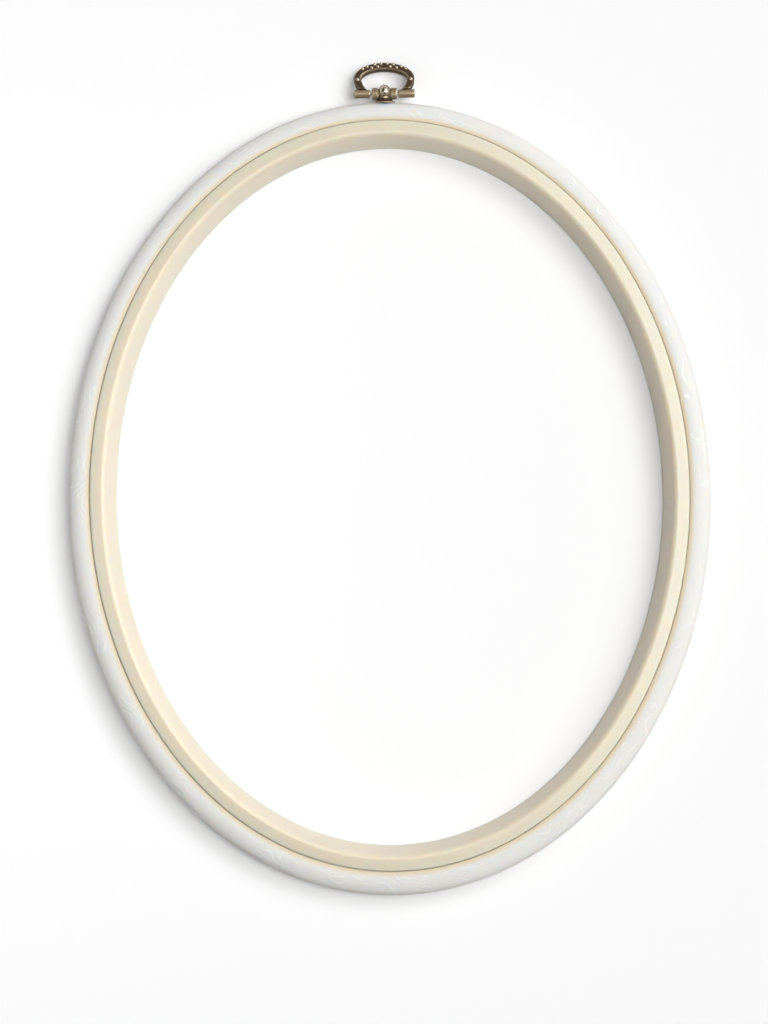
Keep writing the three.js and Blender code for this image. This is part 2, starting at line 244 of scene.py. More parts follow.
@named
class HoopStageSettings(PropertyGroup):
    """Camera, lamps and table"""
    camera_distance: mm(1200, "Camera from the point that it looks at")
    camera_tilt: angle(2.6, "Lean of the camera towards the hoop's lower end")
    camera_roll: angle(0.75, "Turn of the camera about its own axis")
    camera_lens: number(138.5, "Focal length on a 36 mm sensor", subtype="DISTANCE_CAMERA")
    aim: spot((-0.0018, -0.005, 0), "Where the camera looks on the table, from the oval's middle")
    side_watts: number(143, "Soft lamp on the right", unit="POWER")
    corner_watts: number(117, "Soft lamp at the upper right", unit="POWER")
    top_watts: number(133, "Soft lamp high on the right", unit="POWER")
    card_watts: number(0.112, "White card on the left, close to the hoop", unit="POWER")
    lamp_elevation: angle(45, "Side and corner lamps above the horizon")
    corner_azimuth: angle(45, "Corner lamp from the X axis towards the Y axis")
    top_elevation: angle(76, "Top lamp above the horizon")
    lamp_size: mm(3000, "Width of the corner and top lamps")
    side_size: mm(4300, "Width of the side lamp")
    lamp_distance: mm(6000, "Soft lamps from the hoop")
    card_place: spot((-0.2, 0, 0.22), "Middle of the card, from the oval's middle")
    card_size: mm(200, "Width of the card")
    sky_strength: number(0.116, "Light from all round")
    wall_strength: number(0.86, "Pale walls, as seen and mirrored but not as a light")
    table_lift: number(0.07, "Extra white of the table, as seen and mirrored")
    table_size: mm(3000, "Side of the floor")
    table_drop: mm(0.01, "Floor below the hoop's back, so that no two faces coincide")


def millimetres(group):
    """The lengths of a property group in millimetres: pieces are modelled a thousand times life size,
    where bevels, booleans and merges keep their precision, and settle() shrinks them"""
    values = {name: getattr(group, name) for name in group.__annotations__}
    return SimpleNamespace(**{name: v * 1000 if isinstance(v, float) else v for name, v in values.items()})


# Modelling

def clear_selection():
    if bpy.context.object and bpy.context.object.mode != "OBJECT":
        bpy.ops.object.mode_set(mode="OBJECT")
    bpy.ops.object.select_all(action="DESELECT")


def focus(piece):
    clear_selection()
    piece.select_set(True)
    bpy.context.view_layer.objects.active = piece


def edit(piece):
    """Takes a piece alone into edit mode with all of it selected"""
    focus(piece)
    bpy.ops.object.mode_set(mode="EDIT")
    bpy.ops.mesh.select_all(action="SELECT")


def apply_place(piece):
    """Moves a piece's place, turn and scale into its mesh"""
    focus(piece)
    bpy.ops.object.transform_apply()
    return piece


def duplicate(piece):
    """A copy of a piece with its own mesh"""
    copy = piece.copy()
    copy.data = piece.data.copy()
    bpy.context.collection.objects.link(copy)
    return copy


def table_of(items, key, width, kind=float):
    """One property of all of a mesh's items, with a row for each item"""
    values = np.empty(len(items) * width, kind)
    items.foreach_get(key, values)
    return values.reshape(-1, width)


def pick_vertices(wanted):
    """Selects only the vertices at wanted places of the mesh in edit mode"""
    mesh = bpy.context.edit_object.data
    bpy.ops.mesh.select_mode(type="VERT")
    bpy.ops.mesh.select_all(action="DESELECT")
    shape = bmesh.from_edit_mesh(mesh)
    for vertex in shape.verts:
        vertex.select_set(bool(wanted(vertex.co)))
    shape.select_flush(True)
    bmesh.update_edit_mesh(mesh)


def arc(centre, radii, start, end, steps):
    """Points on an ellipse, from one angle in degrees to another"""
    x, y = centre
    turns = [math.radians(turn) for turn in np.linspace(start, end, steps + 1)]
    return [(x + radii[0] * math.cos(turn), y + radii[1] * math.sin(turn)) for turn in turns]


def mirrored(points):
    """Points from left to right, given the right half of them"""
    return [(-x, y) for x, y in reversed(points)] + points


def distances(points):
    """How far along a line of points each of them lies"""
    return np.concatenate([[0], np.cumsum(np.linalg.norm(np.diff(points, axis=0), axis=1))])


def bent(start, towards, end, steps):
    """Points on a curve that leaves its start towards a point and reaches its end from there"""
    return [
        tuple((1 - t) ** 2 * a + 2 * t * (1 - t) * b + t * t * c for a, b, c in zip(start, towards, end))
        for t in np.linspace(0, 1, steps + 1)
    ]


def draw_outline(name, points, closed=True):
    """Draws edges from point to point in the XY plane, each extruded from the last"""
    clear_selection()
    bpy.ops.mesh.primitive_plane_add(size=1, location=(0, 0, 0))
    outline = bpy.context.object
    outline.name = outline.data.name = name
    places = [Vector((x, y, 0)) for x, y in points]
    bpy.ops.object.mode_set(mode="EDIT")
    bpy.ops.mesh.select_mode(type="VERT")
    bpy.ops.mesh.merge(type="CENTER")
    bpy.ops.transform.translate(value=places[0])
    for before, after in pairwise(places):
        bpy.ops.mesh.extrude_region_move(TRANSFORM_OT_translate={"value": after - before})
    if closed:
        ends = (places[0], places[-1])
        pick_vertices(lambda place: any((place - end).length < SAME_PLACE for end in ends))
        bpy.ops.mesh.edge_face_add()
    bpy.ops.object.mode_set(mode="OBJECT")
    return outline


def round_corner(outline, corner, radius, segments):
    """Rounds one corner of a drawn outline to a fillet of the radius"""
    edit(outline)
    place = Vector((*corner, 0))
    pick_vertices(lambda at: (at - place).length < SAME_PLACE)
    vertex = next(v for v in bmesh.from_edit_mesh(outline.data).verts if v.select)
    one, other = (edge.other_vert(vertex).co - place for edge in vertex.link_edges)
    offset = radius / math.tan(one.angle(other) / 2)
    bpy.ops.mesh.bevel(offset=offset, offset_type="OFFSET", segments=segments, affect="VERTICES")
    bpy.ops.object.mode_set(mode="OBJECT")


def draw_section(name, points):
    """Draws a ring's section, where a point may go on with its corner's radius and segments. It is
    drawn mirrored, because the sweep carries a section's left side outward."""
    section = draw_outline(name, [(-outward, height) for outward, height, *_ in points])
    for outward, height, *rounding in points:
        if rounding:
            round_corner(section, (-outward, height), *rounding)
    return section


def clean(piece):
    """Merges the seams and poles, and turns the faces outward"""
    edit(piece)
    bpy.ops.mesh.remove_doubles(threshold=SAME_PLACE)
    bpy.ops.mesh.normals_make_consistent(inside=False)
    bpy.ops.object.mode_set(mode="OBJECT")
    return piece


def turn_outline(name, points, axis, steps=64):
    """Spins a half outline, drawn from the axis out and back to it, into a solid"""
    solid = draw_outline(name, points, closed=False)
    edit(solid)
    bpy.ops.mesh.spin(steps=steps, angle=math.tau, center=(0, 0, 0), axis=axis)
    return clean(solid)


def modify(piece, kind, **settings):
    """Adds a modifier with its settings and applies it"""
    focus(piece)
    modifier = piece.modifiers.new(kind.title(), kind)
    for name, value in settings.items():
        setattr(modifier, name, value)
    bpy.ops.object.modifier_apply(modifier=modifier.name)


def cut(piece, *cutters):
    for cutter in cutters:
        modify(piece, "BOOLEAN", operation="DIFFERENCE", solver="EXACT", object=cutter)
        bpy.data.objects.remove(cutter)


def rod(radius, start, end, axis, sides=48, height=0):
    """A plain rod from start to end along X or Y, at a height above the back"""
    clear_selection()
    middle = (start + end) / 2
    along_x = axis == X_AXIS
    bpy.ops.mesh.primitive_cylinder_add(
        vertices=sides, radius=radius, depth=abs(end - start),
        location=(middle, 0, height) if along_x else (0, middle, height),
        rotation=(0, math.pi / 2, 0) if along_x else (math.pi / 2, 0, 0))
    return apply_place(bpy.context.object)


def join(pieces):
    """Makes one object of several, which keep their own shells"""
    focus(pieces[0])
    for piece in pieces:
        piece.select_set(True)
    bpy.ops.object.join()
    return bpy.context.object


def fuse_casting(piece, rounds):
    """Makes one skin of overlapping shells and softens it, as a casting comes out of its mould"""
    modify(piece, "REMESH", mode="VOXEL", voxel_size=CASTING_GRAIN, adaptivity=0)
    modify(piece, "SMOOTH", factor=0.5, iterations=rounds)


def mark_wear(piece, level, rounds=WEAR_ROUNDS, reach=WEAR_REACH):
    """Stores how rubbed each place is, from 0 in recesses to 1 on high places, as the attribute that
    the brass reads. The level gives it for flat places, and may be a function of the places."""
    mesh = piece.data
    total = len(mesh.vertices)
    places = table_of(mesh.vertices, "co", 3)
    normals = table_of(mesh.vertices, "normal", 3)
    one, other = table_of(mesh.edges, "vertices", 2, int).T

    def gathered(values):
        """The sum over each vertex's neighbours"""
        return np.bincount(one, values[other], total) + np.bincount(other, values[one], total)

    neighbours = np.maximum(gathered(np.ones(total)), 1)
    softened = places
    for _ in range(rounds):
        softened = np.stack([gathered(softened[:, k]) / neighbours for k in range(3)], axis=1)
    proud = ((places - softened) * normals).sum(axis=1)
    wear = np.clip((level(places) if callable(level) else level) + proud / reach, 0, 1)
    mesh.attributes.new("wear", "FLOAT", "POINT").data.foreach_set("value", wear.astype(np.float32))


def settle(piece, body, node, slot, place, lean=0, smooth_angle=35):
    """Shrinks a modelled piece to life size at its place, dresses it and makes it ride on its body"""
    piece.scale = (0.001, 0.001, 0.001)
    piece.rotation_euler = (lean, 0, 0)
    piece.location = place
    apply_place(piece)
    bpy.ops.object.shade_smooth_by_angle(angle=math.radians(smooth_angle))
    piece.data.materials.clear()
    piece.data.materials.append(material_of(slot))
    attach(piece, body)
    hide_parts(node)


# Rings

def shift_outside(places, half_height, root, crest, shift):
    """Carries the outside of a swept ring towards the oval's lower end, where the sweep starts: by
    nothing at the root of its section, and by the whole shift at its crest"""
    outward = -half_height - places[0, :, 1]
    inmost, outmost = outward.argmin(), outward.argmax()
    square = (places[:, outmost, :2] - places[:, inmost, :2]) / (outward[outmost] - outward[inmost])
    rise = (places[:, inmost, 1] - square[:, 1] * outward[inmost]) / half_height
    drift = -shift * np.clip((outward - root) / (crest - root), 0, 1)
    places[:, :, :2] += square[:, None, :] * (rise[:, None] * drift[None, :])[:, :, None]


def sweep_round_window(section, sizes, name, start, outside=None):
    """Carries a section round the window's oval, square to it, and marks each place with its distance
    round the ring, and across it from the section's start, in millimetres. The round distance is wound
    on a circle, so it has no seam."""
    corners = len(section.data.vertices)
    focus(section)
    bpy.ops.object.convert(target="CURVE")
    clear_selection()
    bpy.ops.curve.primitive_bezier_circle_add(radius=1, location=(0, 0, 0))
    ring = bpy.context.object
    ring.name = ring.data.name = name
    bpy.ops.object.mode_set(mode="EDIT")
    bpy.ops.curve.select_all(action="SELECT")
    bpy.ops.curve.handle_type_set(type="ALIGNED")
    bpy.ops.transform.resize(value=(sizes.window_width / 2, sizes.window_height / 2, 1))
    bpy.ops.object.mode_set(mode="OBJECT")
    ring.data.resolution_u = ring.data.splines[0].resolution_u = RING_STEPS
    ring.data.bevel_mode = "OBJECT"
    ring.data.bevel_object = section
    bpy.ops.object.convert(target="MESH")
    bpy.data.objects.remove(section)
    mesh = ring.data
    mesh.name = name
    places = table_of(mesh.vertices, "co", 3).reshape(-1, corners, 3)
    begin = np.stack([-sizes.window_height / 2 - places[0, :, 1], places[0, :, 2]], axis=1)
    if outside:
        shift_outside(places, sizes.window_height / 2, *outside)
        mesh.vertices.foreach_set("co", places.ravel())
    middles = places.mean(axis=1)
    steps = np.linalg.norm(np.roll(middles, -1, axis=0) - middles, axis=1)
    perimeter = steps.sum()
    turn = math.tau * np.concatenate([[0], np.cumsum(steps)[:-1]]) / perimeter
    across = distances(places[0])
    around = across[-1] + np.linalg.norm(places[0, 0] - places[0, -1])
    origin = np.hypot(begin[:, 0] - start[0], begin[:, 1] - start[1]).argmin()
    winding = perimeter / math.tau
    marks = np.empty_like(places)
    marks[:, :, :2] = winding * np.stack([np.cos(turn), np.sin(turn)], axis=1)[:, None]
    marks[:, :, 2] = (across - across[origin] + around / 2) % around - around / 2
    attribute = mesh.attributes.new("ring_place", "FLOAT_VECTOR", "POINT")
    attribute.data.foreach_set("vector", marks.astype(np.float32).ravel())
    return clean(ring)


class HOOP_OT_inner_ring(Operator):
    """Rigid ring: an inside wall that leans outward, a rounded ridge, a sloping face and a lip"""
    bl_idname = "hoop.inner_ring"
    bl_label = "Inner Ring"

    def execute(self, context):
        size = millimetres(context.scene.hoop_rings)
        wall = size.inner_wall
        lip = wall + size.lip_overhang
        face_edge = size.ridge_height - size.face_drop
        underside = face_edge - size.lip_thickness
        ridge = (size.inside_lean, size.ridge_height)
        section = draw_section("inner_section", [
            (0, 0, size.back_radius, 5), (wall, 0, size.back_radius, 5),
            (wall, underside), (lip, underside, size.lip_under_radius, 4),
            (lip, face_edge, size.lip_radius, 8), (*ridge, size.ridge_radius, 12),
        ])
        ring = sweep_round_window(section, size, "cream_inner_ring", ridge)
        modify(ring, "WEIGHTED_NORMAL", weight=60)
        settle(ring, "inner_hoop", "inner_ring", "cream_plastic", RINGS_MIDDLE)
        return {"FINISHED"}


class HOOP_OT_outer_ring(Operator):
    """Soft ring: a rounded D section with a rebate under the lip, and the hole for the hanger's post"""
    bl_idname = "hoop.outer_ring"
    bl_label = "Outer Ring"

    def execute(self, context):
        size = millimetres(context.scene.hoop_rings)
        hanger = millimetres(context.scene.hoop_hanger)
        screw = millimetres(context.scene.hoop_screw)
        middle = size.widest_height
        bore = size.inner_wall + size.fabric_gap
        rebate = size.inner_wall + size.lip_overhang + size.lip_gap
        floor = size.ridge_height - size.face_drop - size.lip_thickness - size.fabric_gap
        crest = bore + size.outer_wall
        crown = crest - size.crown_run
        crown_end = math.degrees(math.acos((rebate - crown) / size.crown_run))
        back = arc((crest - size.back_run, middle), (size.back_run, middle), -90, 0, 16)
        front = arc((crown, middle), (size.crown_run, size.crown_height - middle), 0, crown_end, 30)
        section = draw_section("outer_section", [
            (rebate, floor), (bore, floor, size.back_radius, 4), (bore, 0, size.back_radius, 4),
            *back, *front[1:-1], (*front[-1], size.rebate_radius, 3),
        ])
        ring = sweep_round_window(
            section, size, "white_outer_ring", front[-1], outside=(rebate, crest, size.outside_shift))

        bore_at = size.window_height / 2 + bore
        crest_at = size.window_height / 2 + crest - size.outside_shift
        inside, outside = bore_at - CUT_PAST, crest_at + hanger.hinge_rise
        seat = crest_at - hanger.foot_bite
        spigot_end = seat - hanger.spigot_length - screw.seat_gap
        head_end = bore_at + screw.head_sink + screw.head_thickness + screw.seat_gap
        foot_seat = rod(hanger.foot_width / 2 + screw.seat_gap, seat, outside, Y_AXIS, 64)
        foot_seat.scale.z = hanger.foot_depth / hanger.foot_width
        foot_seat.location.z = middle
        socket = rod(hanger.spigot_radius + screw.seat_gap, spigot_end, outside, Y_AXIS, height=middle)
        through = rod(screw.radius + screw.clearance, inside, outside, Y_AXIS, height=middle)
        recess = rod(screw.head_radius + screw.head_gap, inside, head_end, Y_AXIS, height=middle)
        context.view_layer.update()
        cut(ring, foot_seat, socket, through, recess)
        settle(ring, "outer_hoop", "outer_ring", "white_soft_plastic", RINGS_MIDDLE)
        return {"FINISHED"}


# Hanger

class HOOP_OT_hanger_post(Operator):
    """Cast post: a ball head over a cross barrel with collars, a waist, a flared foot and a spigot"""
    bl_idname = "hoop.hanger_post"
    bl_label = "Hanger Post"

    def execute(self, context):
        size = millimetres(context.scene.hoop_hanger)
        screw = millimetres(context.scene.hoop_screw)
        foot_bottom = screw.seat_gap - size.foot_bite - size.hinge_rise

        centre = (0, size.ball_centre)
        lower = arc(centre, (size.ball_radius, size.ball_bottom + size.ball_centre), -90, 0, 16)
        upper = arc(centre, (size.ball_radius, size.ball_top - size.ball_centre), 0, 90, 16)
        ball = turn_outline("ball", [*lower, *upper[1:]], Y_AXIS)
        ball.scale.z = size.ball_front / size.ball_radius

        half, edge = size.barrel_length / 2, size.sleeve_chamfer
        collar_end, core = half - size.collar_length, size.barrel_radius - size.collar_step
        barrel = turn_outline("barrel", mirrored([
            (collar_end - size.collar_step, core), (collar_end, size.barrel_radius),
            (half - edge, size.barrel_radius), (half, size.barrel_radius - edge), (half, 0),
        ]), X_AXIS)
        barrel.scale.z = size.barrel_front / size.barrel_radius

        rim_top = foot_bottom + size.foot_rim
        half_foot = size.foot_width / 2
        hollow = ((half_foot + size.waist_radius) / 2 - size.flare_hollow,
                  (rim_top - size.waist_drop) / 2 - size.flare_hollow)
        flare = bent((half_foot, rim_top), hollow, (size.waist_radius, -size.waist_drop), 14)
        foot = turn_outline(
            "foot", [(0, foot_bottom), (half_foot, foot_bottom), *flare, (0, -size.waist_drop)], Y_AXIS)
        foot.scale.z = size.foot_depth / size.foot_width
        spigot = rod(size.spigot_radius, foot_bottom - size.spigot_length, -size.waist_drop, Y_AXIS, 64)

        for part in (ball, barrel, foot):
            apply_place(part)
        post = join([ball, barrel, foot, spigot])
        post.name = post.data.name = "brass_hanger_post"
        fuse_casting(post, rounds=3)

        def rubbed(places):
            """The ball and the collars are handled, the foot and the waist are not"""
            x, y, z = places.T
            on_ball = (np.hypot(x / size.ball_radius, z / size.ball_front) < 1.05) & (y > -size.ball_bottom)
            on_collar = np.abs(x) > collar_end - size.collar_step
            return np.where(on_ball, BALL_WEAR, np.where(on_collar, COLLAR_WEAR, POST_WEAR))

        mark_wear(post, rubbed)
        pin_bore = size.pin_radius + size.pin_running
        screw_start, screw_end = foot_bottom - 2 * size.spigot_length, -pin_bore - screw.tip_gap
        cut(post, rod(pin_bore, -size.barrel_length, size.barrel_length, X_AXIS),
            rod(screw.radius + screw.clearance, screw_start, screw_end, Y_AXIS))
        settle(post, "outer_hoop", "hanger_post", "antique_brass", HINGE, smooth_angle=40)
        return {"FINISHED"}


def resting_lean(size, widest_height):
    """How far the loop leans back for its tip to lie on the table"""
    trimmed = size.bail_edge * (1 - math.sqrt(0.5))
    tip = size.bail_height - trimmed
    back = size.bail_thickness / 2 - trimmed
    fall = min(1, (widest_height - size.table_gap) / math.hypot(tip, back))
    return math.asin(fall) - math.atan2(back, tip)


def bead_places(size):
    """Middles and radii of the beads: a zigzag of two rows over the arch with its top left plain, a
    single row below it along the outer edge, and one larger bead on each side"""
    half, rise = size.bail_width / 2, size.bail_height - size.bail_widest
    zigzag = [(at * size.bead_step, at % 2 == 0) for at in range(1, size.zigzag_beads + 1)]
    below = [(zigzag[-1][0] + at * size.single_step, False) for at in range(1, size.single_beads + 1)]
    places = []
    for from_top, inner in zigzag + below:
        inset = size.bead_inset + size.bead_row_gap * inner
        row = np.array(arc((0, size.bail_widest), (half - inset, rise - inset), 90, 0, 400))
        x, y = (np.interp(from_top, distances(row), row[:, k]) for k in (0, 1))
        places.append((x, y, size.bead_radius))
    beside = (size.bail_width - size.bail_band) / 2
    places.append((beside, size.bail_widest - size.side_bead_drop, size.side_bead_radius))
    return [(turn * x, y, radius) for x, y, radius in places for turn in (-1, 1)]


def open_oval(middle, half, rise, drop, leg, steps):
    """Points from the right foot of an oval over its top to the left foot. The lower half would drop
    further than the feet, which end it at the leg's length."""
    turn = math.degrees(math.asin(leg / drop))
    return [
        *arc(middle, (half, drop), -turn, 0, 8), *arc(middle, (half, rise), 0, 180, steps)[1:],
        *arc(middle, (half, drop), 180, 180 + turn, 8)[1:],
    ]


class HOOP_OT_bail(Operator):
    """Cast loop: an oval band with beads on its front and two sleeves that turn on the pin"""
    bl_idname = "hoop.bail"
    bl_label = "Bail"

    def execute(self, context):
        size = millimetres(context.scene.hoop_hanger)
        widest_height = millimetres(context.scene.hoop_rings).widest_height
        middle = (0, size.bail_widest)
        leg = size.bail_widest - size.bail_foot
        half, rise = size.bail_width / 2, size.bail_height - size.bail_widest
        inside, inner_rise = half - size.bail_band, rise - size.bail_band
        outer = open_oval(middle, half, rise, size.outer_leg, leg, 64)
        inner = open_oval(middle, inside, inner_rise, size.inner_leg, leg, 56)
        band = draw_outline("brass_bail", [*outer, *reversed(inner)])
        edit(band)
        bpy.ops.mesh.edge_face_add()
        bpy.ops.transform.translate(value=(0, 0, -size.bail_thickness / 2))
        bpy.ops.mesh.extrude_region_move(TRANSFORM_OT_translate={"value": (0, 0, size.bail_thickness)})
        bpy.ops.mesh.select_mode(type="EDGE")
        bpy.ops.mesh.select_all(action="DESELECT")
        bpy.ops.mesh.edges_select_sharp(sharpness=math.radians(50))
        bpy.ops.mesh.bevel(offset=size.bail_rounding, segments=4)

        clear_selection()
        bpy.ops.mesh.primitive_uv_sphere_add(segments=24, ring_count=16, radius=1, location=(0, 0, 0))
        pattern = bpy.context.object
        beads = []
        for x, y, radius in bead_places(size):
            beads.append(duplicate(pattern))
            place = Matrix.Translation((x, y, size.bail_thickness / 2 - size.bead_sink))
            beads[-1].data.transform(place @ Matrix.Scale(radius, 4))
        bpy.data.objects.remove(pattern)

        start = size.barrel_length / 2 + size.sleeve_gap
        end = half + size.sleeve_overhang
        radius, edge = size.sleeve_radius, size.sleeve_chamfer
        sleeve = turn_outline("sleeve", [
            (start, 0), (start, radius - edge), (start + edge, radius),
            (end - edge, radius), (end, radius - edge), (end, 0),
        ], X_AXIS)
        other = duplicate(sleeve)
        other.scale.x = -1
        apply_place(other)
        clean(other)

        bail = join([band, sleeve, other, *beads])
        fuse_casting(bail, rounds=2)

        def rubbed(places):
            """The sleeves turn against the post, the beads stand out and a nail rubs the inner edge. The
            rest of the band stays dark."""
            x, y, z = places.T
            on_sleeve = np.hypot(y, z) < size.sleeve_radius + 0.05
            on_bead = z > size.bail_thickness / 2 + 0.03
            by_nail = np.hypot(x / inside, (y - size.bail_widest) / inner_rise) < 1.08
            return np.where(on_sleeve | on_bead, SLEEVE_WEAR, np.where(by_nail, NAIL_WEAR, BAND_WEAR))

        mark_wear(bail, rubbed)
        cut(bail, rod(size.pin_radius + size.pin_running, -size.bail_width, size.bail_width, X_AXIS))
        lean = -resting_lean(size, widest_height)
        settle(bail, "hanging_loop", "bail", "antique_brass", HINGE, lean, smooth_angle=40)
        return {"FINISHED"}


class HOOP_OT_hinge_pin(Operator):
    """Pin through the barrel and both sleeves, with domed ends"""
    bl_idname = "hoop.hinge_pin"
    bl_label = "Hinge Pin"

    def execute(self, context):
        size = millimetres(context.scene.hoop_hanger)
        end = size.bail_width / 2 + size.sleeve_overhang
        dome = arc((end, 0), (size.pin_dome, size.pin_radius), 90, 0, 8)
        pin = turn_outline("brass_hinge_pin", mirrored(dome), X_AXIS, steps=40)
        mark_wear(pin, PIN_WEAR, rounds=1, reach=1)
        settle(pin, "outer_hoop", "hinge_pin", "antique_brass", HINGE)
        return {"FINISHED"}


class HOOP_OT_fixing_screw(Operator):
    """Screw from inside the outer ring up into the post, with a cross recess in its head"""
    bl_idname = "hoop.fixing_screw"
    bl_label = "Fixing Screw"

    def execute(self, context):
        size = millimetres(context.scene.hoop_screw)
        hanger = millimetres(context.scene.hoop_hanger)
        rings = millimetres(context.scene.hoop_rings)
        head, edge, under_edge = size.head_radius, size.head_edge, 0.05
        crest = rings.outer_wall - rings.outside_shift + hanger.hinge_rise
        seat = size.head_sink + size.head_thickness - crest
        bottom = seat - size.head_thickness
        tip = -hanger.pin_radius - hanger.pin_running - 2 * size.tip_gap
        point_length, point_radius = 0.4, 0.75 * size.radius
        shank = [(0.98 * size.radius, at) for at in np.arange(seat, tip - point_length, size.pitch / 8)]
        screw = turn_outline("steel_fixing_screw", [
            (0, bottom), (head - edge, bottom), (head - 0.3 * edge, bottom + 0.3 * edge),
            (head, bottom + edge), (head, seat - under_edge), (head - under_edge, seat),
            *shank, (point_radius, tip), (0, tip),
        ], Y_AXIS, steps=48)
        # The thread is cut 20% deep, between a plain neck of 0.5 mm and the last 0.2 mm
        for vertex in screw.data.vertices:
            x, y, z = vertex.co
            if seat + 0.5 < y < tip - 0.2 and math.hypot(x, z) > 0.9 * size.radius:
                turn = (math.atan2(z, x) / math.tau + y / size.pitch) % 1
                depth = 0.2 * (1 - abs(2 * turn - 1))
                vertex.co.x *= 1 - depth
                vertex.co.z *= 1 - depth
        slots = []
        for width, span in ((size.cross_span, size.cross_width), (size.cross_width, size.cross_span)):
            clear_selection()
            bpy.ops.mesh.primitive_cube_add(
                size=1, location=(0, bottom, 0), scale=(width, 2 * size.cross_depth, span))
            slots.append(apply_place(bpy.context.object))
        cut(screw, *slots)
        settle(screw, "outer_hoop", "fixing_screw", "plated_steel", HINGE, smooth_angle=30)
        return {"FINISHED"}


# Materials

def linear(code):
    """An sRGB hex colour as linear red, green, blue and alpha"""
    channels = [int(code[at:at + 2], 16) / 255 for at in (0, 2, 4)]
    return (*(c / 12.92 if c <= 0.04045 else ((c + 0.055) / 1.055) ** 2.4 for c in channels), 1)


def wire(node, inputs):
    """Gives a node's inputs their values, and links the outputs of other nodes into them"""
    for name, value in inputs.items():
        if isinstance(value, NodeSocket):
            node.id_data.links.new(value, node.inputs[name])
        else:
            node.inputs[name].default_value = value


def add_node(tree, kind, inputs=None, **settings):
    """Adds a shader node with its settings, values and links, and returns its outputs"""
    node = tree.nodes.new("ShaderNode" + kind)
    for name, value in settings.items():
        setattr(node, name, value)
    wire(node, inputs or {})
    return node.outputs


def moulded_abs(node, shader, colours):
    """Injection moulded ABS: dense and slightly translucent, so light that enters the bright inside
    wall glows tan through the ridge. Polished steel mould, so a soft gloss with hardly any texture."""
    place = node("Attribute", attribute_name="ring_place")["Vector"]
    # Pigment mixes unevenly over a few centimetres
    patches = node("TexNoise", {"Vector": place, "Scale": 0.04, "Detail": 3})["Fac"]
    pigment = node("Mix", {FACTOR: patches, A: colours.cream, B: colours.cream_deep}, **COLOURS)[MIXED]
    # Mould polish lines about 0.25 mm apart, in real size 0.05 mm and coarser here to show
    stretch = node("Mapping", {"Vector": place, "Scale": (0.12, 0.12, 4)})["Vector"]
    polish = node("TexNoise", {"Vector": stretch, "Scale": 1, "Detail": 2})["Fac"]
    gloss = node("MapRange", {"Value": polish, "To Min": 0.34, "To Max": 0.46})["Result"]
    bump = node("Bump", {"Height": polish, "Strength": 0.15, "Distance": 0.00001})["Normal"]
    wire(shader, {
        "Base Color": pigment, "Roughness": gloss, "Normal": bump, "IOR": 1.54, "Specular IOR Level": 0.7,
        "Subsurface Weight": 1, "Subsurface Radius": (1, 0.68, 0.38), "Subsurface Scale": 0.0035,
    })


